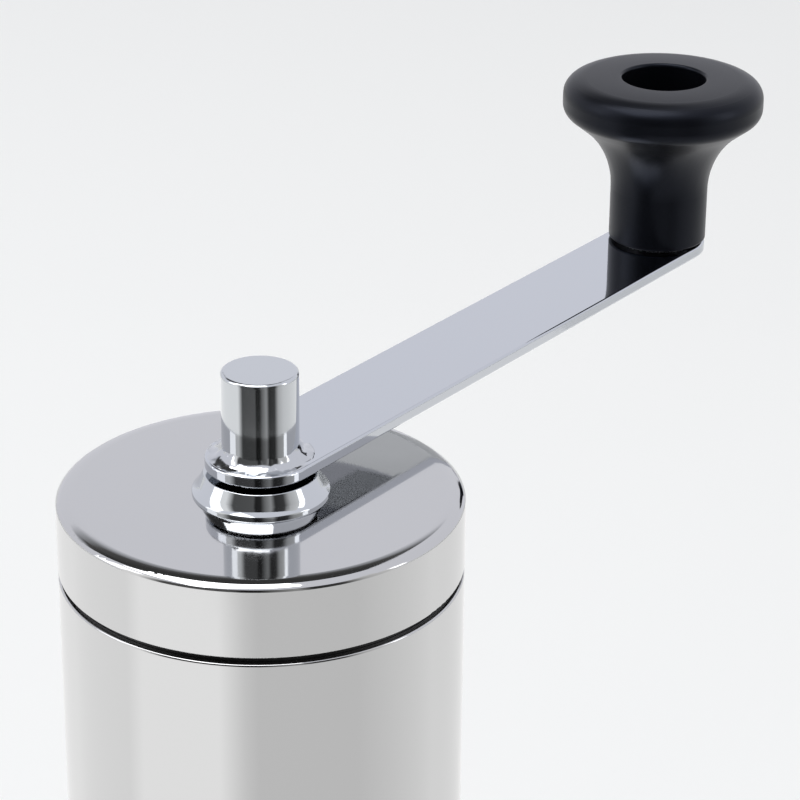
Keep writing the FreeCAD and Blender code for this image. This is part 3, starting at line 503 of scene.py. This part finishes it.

# %% [markdown]
# ## The coil spring
#
# A coil spring presses the turning burr down on its nut. When the burr slides on the shaft, the
# spring's foot goes with it while its head stays put, so no single body can carry the whole spring.
# This piece stands for the assembly's rigid one, as a fixed mesh in its resting place. Another small
# tree holds the rule, a round wire swept along a helix.

# %% Rule for the spring
WIRE_RADIUS = 0.5 * MM
WIRE_SIDES = 16
SPRING_TURNS = 4.5
STEPS_IN_A_TURN = 48


def spring_tree():
    """Sweep a round wire along a helix that stands on the given height."""
    tree = bpy.data.node_groups.new("Coil spring", "GeometryNodeTree")
    for name in ("Coil radius", "Wire radius", "Turns", "Rise", "Base"):
        tree.interface.new_socket(name, in_out="INPUT", socket_type="NodeSocketFloat")
    tree.interface.new_socket("Geometry", in_out="OUTPUT", socket_type="NodeSocketGeometry")
    given = add_node(tree, "NodeGroupInput")
    helix = add_node(tree, "GeometryNodeCurveSpiral", {
        "Resolution": STEPS_IN_A_TURN, "Rotations": given.outputs["Turns"],
        "Start Radius": given.outputs["Coil radius"], "End Radius": given.outputs["Coil radius"],
        "Height": given.outputs["Rise"],
    })
    wire = add_node(tree, "GeometryNodeCurvePrimitiveCircle", {
        "Resolution": WIRE_SIDES, "Radius": given.outputs["Wire radius"],
    })
    swept = add_node(tree, "GeometryNodeCurveToMesh", {
        "Curve": helix.outputs["Curve"], "Profile Curve": wire.outputs["Curve"], "Fill Caps": True,
    })
    height = add_node(tree, "ShaderNodeCombineXYZ", {"Z": given.outputs["Base"]})
    raised = add_node(tree, "GeometryNodeTransform", {
        "Geometry": swept.outputs["Mesh"], "Translation": height.outputs["Vector"],
    })
    real = add_node(tree, "GeometryNodeRealizeInstances", {"Geometry": raised.outputs["Geometry"]})
    coloured = add_node(tree, "GeometryNodeSetMaterial", {
        "Geometry": real.outputs["Geometry"], "Material": materials["spring_steel"],
    })
    add_node(tree, "NodeGroupOutput", {"Geometry": coloured.outputs["Geometry"]})
    return tree


spring_rule = spring_tree()
print("spring rule:", len(spring_rule.nodes), "nodes")

# %% Put the spring between the burr and the shaft
spring_low, spring_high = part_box("burr_spring")
foot = spring_low[2] + WIRE_RADIUS
rise = spring_high[2] - spring_low[2] - 2 * WIRE_RADIUS
coil_radius = (spring_high[0] - spring_low[0]) / 2 - WIRE_RADIUS
coil = mesh_from_tree("coil_spring", bpy.data.meshes.new("spring"), spring_rule, {
    "Coil radius": coil_radius, "Wire radius": WIRE_RADIUS, "Turns": SPRING_TURNS,
    "Rise": rise, "Base": foot,
})
for polygon in coil.data.polygons:
    on_the_side = len(polygon.vertices) == 4
    polygon.use_smooth = on_the_side
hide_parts("burr_spring")
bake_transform(coil)
print("spring:", round(coil_radius / MM, 2), "mm radius,", round(rise / MM, 2), "mm rise")

# %% [markdown]
# ## A small studio
#
# Polished metal shows its surroundings, so the studio matters as much as the steel. A pale sweep of
# paper forms the floor. Large soft lamps stand for softboxes: one overhead, one on each side. The
# world is a pale, even white with a little blue in it, and the steel shows it as its own tone. For
# the light that falls on paper and plastic the same world is much dimmer, so the lamps make the
# shadows. Further off, where the softboxes hardly reach, background lamps would keep the paper
# white. Instead of those lamps the paper glows a little more with distance, and only for the eye and
# for reflections, so that it sheds no light on the grinder.

# %% Rays that show
def rays_that_show(tree):
    """One for the camera's rays and for reflected or refracted ones, nought for light that is shed."""
    ray = add_node(tree, "ShaderNodeLightPath")
    straight = add_node(tree, "ShaderNodeMath", {
        0: ray.outputs["Is Camera Ray"], 1: ray.outputs["Is Glossy Ray"],
    }, operation="MAXIMUM")
    shown = add_node(tree, "ShaderNodeMath", {
        0: straight.outputs["Value"], 1: ray.outputs["Is Transmission Ray"],
    }, operation="MAXIMUM")
    return shown.outputs["Value"]


# %% Paper floor
FLOOR_HALF = 6.0
FLOOR_DROP = 0.2 * MM
PAPER_TONE = "#F4F5F6"
GLOW_BEGINS = 0.75
GLOW_IS_FULL = 3.0
FULL_GLOW = 0.52

signs = ((-1, -1), (1, -1), (1, 1), (-1, 1))
corners = [(across * FLOOR_HALF, along * FLOOR_HALF, 0) for across, along in signs]
floor_mesh = bpy.data.meshes.new("paper floor")
floor_mesh.from_pydata(corners, [], [(0, 1, 2, 3)])
floor = bpy.data.objects.new("paper floor", floor_mesh)
floor.location.z = -FLOOR_DROP
bpy.context.scene.collection.objects.link(floor)
paper, tree = start_material("backdrop paper, matt white")
place = add_node(tree, "ShaderNodeTexCoord")
distance = add_node(tree, "ShaderNodeVectorMath", {0: place.outputs["Object"]}, operation="LENGTH")
fill = add_node(tree, "ShaderNodeMapRange", {
    "Value": distance.outputs["Value"],
    "From Min": GLOW_BEGINS, "From Max": GLOW_IS_FULL, "To Max": FULL_GLOW,
}, interpolation_type="SMOOTHSTEP")
glow = add_node(tree, "ShaderNodeMath", {
    0: fill.outputs["Result"], 1: rays_that_show(tree),
}, operation="MULTIPLY")
shader = add_node(tree, "ShaderNodeBsdfPrincipled", {
    "Base Color": linear(PAPER_TONE), "Roughness": 0.9, "Specular IOR Level": 0.1,
    "Emission Color": linear(PAPER_TONE), "Emission Strength": glow.outputs["Value"],
})
finish_material(tree, shader)
floor_mesh.materials.append(paper)
print("floor:", 2 * FLOOR_HALF, "m square")

# %% World
WORLD_TONE = "#F0F1F9"
SHOWN_STRENGTH = 1.08
LIT_STRENGTH = 0.40

world = bpy.data.worlds.new("studio")
world.use_nodes = True
tree = world.node_tree
tree.nodes.clear()
lit = add_node(tree, "ShaderNodeBackground", {
    "Color": linear("#FFFFFF"), "Strength": LIT_STRENGTH,
})
shown = add_node(tree, "ShaderNodeBackground", {
    "Color": linear(WORLD_TONE), "Strength": SHOWN_STRENGTH,
})
either = add_node(tree, "ShaderNodeMixShader", {
    0: rays_that_show(tree), 1: lit.outputs["Background"], 2: shown.outputs["Background"],
})
add_node(tree, "ShaderNodeOutputWorld", {"Surface": either.outputs["Shader"]})
bpy.context.scene.world = world
print("world: shown at", SHOWN_STRENGTH, "and lit at", LIT_STRENGTH)

# %% Softboxes
def softbox(name, place, aim, width, height, watts):
    """A rectangular soft lamp at a place, turned to face a point."""
    lamp = bpy.data.lights.new(name, "AREA")
    lamp.shape = "RECTANGLE"
    lamp.size = width
    lamp.size_y = height
    lamp.energy = watts
    stand = bpy.data.objects.new(name, lamp)
    stand.location = place
    stand.rotation_euler = (Vector(aim) - Vector(place)).to_track_quat("-Z", "Y").to_euler()
    bpy.context.scene.collection.objects.link(stand)
    print(name, "of", watts, "W,", width, "by", height, "m")


softbox("overhead softbox", (-0.4, 0.3, 2.2), (0, 0, 0.1), 1.8, 1.8, 33.0)
softbox("left softbox", (-1.4, 1.6, 1.2), (0, 0, 0.12), 1.0, 1.6, 7.0)
softbox("right softbox", (0.8, -2.0, 1.0), (0, 0, 0.12), 0.8, 1.4, 6.0)

# %% [markdown]
# ## Panels and cards for painted reflections
#
# A mirror finish that shows nothing but white paper looks like white plastic. Photographers of metal
# lay panels round the object and stand cards behind it, all out of the picture, and the steel draws
# its lights and darks from them. Here each flat or upright strip is bent round the grinder and
# glows though it is no lamp, and a colour ramp sets its tone by direction or by height, so the lights
# and darks on the steel are painted reflections:
#
# - a panel close to the foot that glows white, greyer on the right, painted into the tube and the
#   lid's skirt;
# - a panel that glows white with two black stripes outside it, and an upright one in front, painted
#   into the socket;
# - a high card behind that glows dark, pale at its lower edge, which paints a soft dark line along the
#   front of the lid's rim and round the top of the knob.
#
# They show only in reflections and throw no shadow.

# %% Where the front is
AHEAD_X = 0.808
AHEAD_Y = 0.589
ahead = Vector((AHEAD_X, AHEAD_Y, 0.0))
front = -ahead
aside = Vector((ahead.y, -ahead.x, 0.0))
print("the front faces", [round(value, 3) for value in front])


# %% Tones that change with direction or height
def toned_glow(tree, share, stops, strength):
    """Glow with a tone that follows a number from 0 to 1."""
    tones = add_node(tree, "ShaderNodeValToRGB", {"Fac": share})
    ramp = tones.color_ramp
    ramp.elements[0].color = linear(stops[0][1])
    ramp.elements[1].color = linear(stops[-1][1])
    for spot, tone in stops:
        ramp.elements.new(spot).color = linear(tone)
    glow = add_node(tree, "ShaderNodeEmission", {"Color": tones.outputs["Color"], "Strength": strength})
    add_node(tree, "ShaderNodeOutputMaterial", {"Surface": glow.outputs["Emission"]})


def tone_by_bearing(name, stops, strength):
    """Glowing material whose tone changes round the grinder. Stops are degrees right of the front."""
    material, tree = start_material(name)
    place = add_node(tree, "ShaderNodeTexCoord")
    near = add_node(tree, "ShaderNodeVectorMath", {
        0: place.outputs["Object"], 1: front,
    }, operation="DOT_PRODUCT")
    across = add_node(tree, "ShaderNodeVectorMath", {
        0: place.outputs["Object"], 1: aside,
    }, operation="DOT_PRODUCT")
    bearing = add_node(tree, "ShaderNodeMath", {
        0: across.outputs["Value"], 1: near.outputs["Value"],
    }, operation="ARCTAN2")
    share = add_node(tree, "ShaderNodeMapRange", {
        "Value": bearing.outputs["Value"], "From Min": -math.pi, "From Max": math.pi,
    })
    toned_glow(tree, share.outputs["Result"], [(0.5 + a / 360, tone) for a, tone in stops], strength)
    return material


def tone_by_height(name, top, stops, strength):
    """Glowing material whose tone changes upward. Stops are shares of the top's height."""
    material, tree = start_material(name)
    place = add_node(tree, "ShaderNodeTexCoord")
    parts = add_node(tree, "ShaderNodeSeparateXYZ", {"Vector": place.outputs["Object"]})
    share = add_node(tree, "ShaderNodeMapRange", {"Value": parts.outputs["Z"], "From Max": top})
    toned_glow(tree, share.outputs["Result"], stops, strength)
    return material


# %% Cards bent round the grinder
CARD_STEPS = 48


def curved_card(name, material, near, reach, low, high, start=-180, end=180):
    """A card bent round the grinder, seen only in reflections. Angles count right of the front."""
    corners = []
    for step in range(CARD_STEPS + 1):
        turn = Matrix.Rotation(math.radians(start + (end - start) * step / CARD_STEPS), 3, "Z")
        away = turn @ front
        corners.append(tuple(away * near + Vector((0, 0, low))))
        corners.append(tuple(away * (near + reach) + Vector((0, 0, high))))
    faces = [(2 * k, 2 * k + 1, 2 * k + 3, 2 * k + 2) for k in range(CARD_STEPS)]
    mesh = bpy.data.meshes.new(name)
    mesh.from_pydata(corners, [], faces)
    mesh.materials.append(material)
    card = bpy.data.objects.new(name, mesh)
    bpy.context.scene.collection.objects.link(card)
    card.visible_camera = False
    card.visible_diffuse = False
    card.visible_shadow = False
    card.visible_transmission = False
    print(name, "at", near, "to", round(near + reach, 3), "m,", low, "to", high, "m high")


# %% Panels and cards in their places
PAINTED_REFLECTION_STRENGTH = 1.36
PANEL_HEIGHT = 0.001
NEAR_PANEL_START = 0.12
NEAR_PANEL_WIDTH = 0.235
FAR_PANEL_START = 0.355
FAR_PANEL_WIDTH = 0.08
UPRIGHT_PLACE = 0.435
UPRIGHT_TOP = 0.6
HIGH_CARD_PLACE = 0.7
HIGH_CARD_LOW = 0.58
HIGH_CARD_TOP = 1.6

# Painted reflections: glowing strips, no lamps, whose tones give the tube, the skirt and the socket their
# lights and darks.
near_painted_reflection = tone_by_bearing("painted reflection panel, white with a grey side", (
    (-160, "#DDDDDD"), (-125, "#F1F1F1"), (-76, "#EFEFEF"), (-66, "#FDFDFD"), (-21, "#FDFDFD"),
    (-7, "#DDDDDD"), (0, "#D3D3D3"), (55, "#D2D2D2"), (110, "#EAEAEA"), (160, "#DDDDDD"),
), PAINTED_REFLECTION_STRENGTH)
far_painted_reflection = tone_by_bearing("painted reflection panel, white with two black stripes", (
    (-64, "#ECECEC"), (-50, "#505050"), (-12, "#575757"), (-8, "#222222"), (2, "#2A2A2A"),
    (10, "#6F6F6F"), (21, "#969696"), (29, "#323232"), (46, "#3E3E3E"), (58, "#B8B8B8"),
    (75, "#D1D1D1"), (110, "#E1E1E1"), (150, "#ECECEC"),
), PAINTED_REFLECTION_STRENGTH)
# Painted dark reflection: a card that glows dark grey above a pale lower edge, for the dark line in the
# lid's rim and the knob's top.
high_painted_dark_reflection = tone_by_height("painted reflection card, dark above", HIGH_CARD_TOP, (
    (0.36, WORLD_TONE), (0.40, "#B0B2B8"), (0.45, "#585858"), (0.55, "#404040"), (1.0, "#404040"),
), SHOWN_STRENGTH)
curved_card("near_painted_reflection", near_painted_reflection, NEAR_PANEL_START, NEAR_PANEL_WIDTH, PANEL_HEIGHT, PANEL_HEIGHT)
curved_card("far_painted_reflection", far_painted_reflection, FAR_PANEL_START, FAR_PANEL_WIDTH, PANEL_HEIGHT, PANEL_HEIGHT)
curved_card(
    "upright_painted_reflection", far_painted_reflection, UPRIGHT_PLACE, 0.0, PANEL_HEIGHT, UPRIGHT_TOP, start=-75, end=75
)
curved_card(
    "high_painted_dark_reflection", high_painted_dark_reflection, HIGH_CARD_PLACE, 0.0, HIGH_CARD_LOW, HIGH_CARD_TOP, start=166, end=240
)

# %% [markdown]
# ## The camera
#
# The view looks down at the lid from close by, with a long lens. The distances and angles below were
# worked out from the ellipses that the lid, the collar and the knob make in the picture. The lens is
# given as the photograph's focal length in picture widths.

# %% Camera
FOCAL_WIDTHS = 2993 / 800
CAMERA_PLACE = Vector((-249.9, -202.6, 317.8)) * MM
HEADING = math.atan2(AHEAD_Y, AHEAD_X)
DOWN = math.radians(24.42)
ROLL = math.radians(0.5)

lens = bpy.data.cameras.new("camera")
lens.sensor_width = 36.0
lens.lens = lens.sensor_width * FOCAL_WIDTHS
lens.clip_start = 0.01
lens.clip_end = 30.0
camera = bpy.data.objects.new("camera", lens)
bpy.context.scene.collection.objects.link(camera)
level = math.cos(DOWN)
forward = Vector((level * math.cos(HEADING), level * math.sin(HEADING), -math.sin(DOWN)))
level_right = forward.cross(Vector((0, 0, 1))).normalized()
level_up = level_right.cross(forward)
right = level_right * math.cos(ROLL) + level_up * math.sin(ROLL)
up = level_up * math.cos(ROLL) - level_right * math.sin(ROLL)
turn = Matrix((right, up, -forward)).transposed()
camera.matrix_world = Matrix.Translation(CAMERA_PLACE) @ turn.to_4x4()
bpy.context.scene.camera = camera
bpy.context.scene.view_settings.view_transform = "Standard"
print("lens", round(lens.lens, 1), "mm")
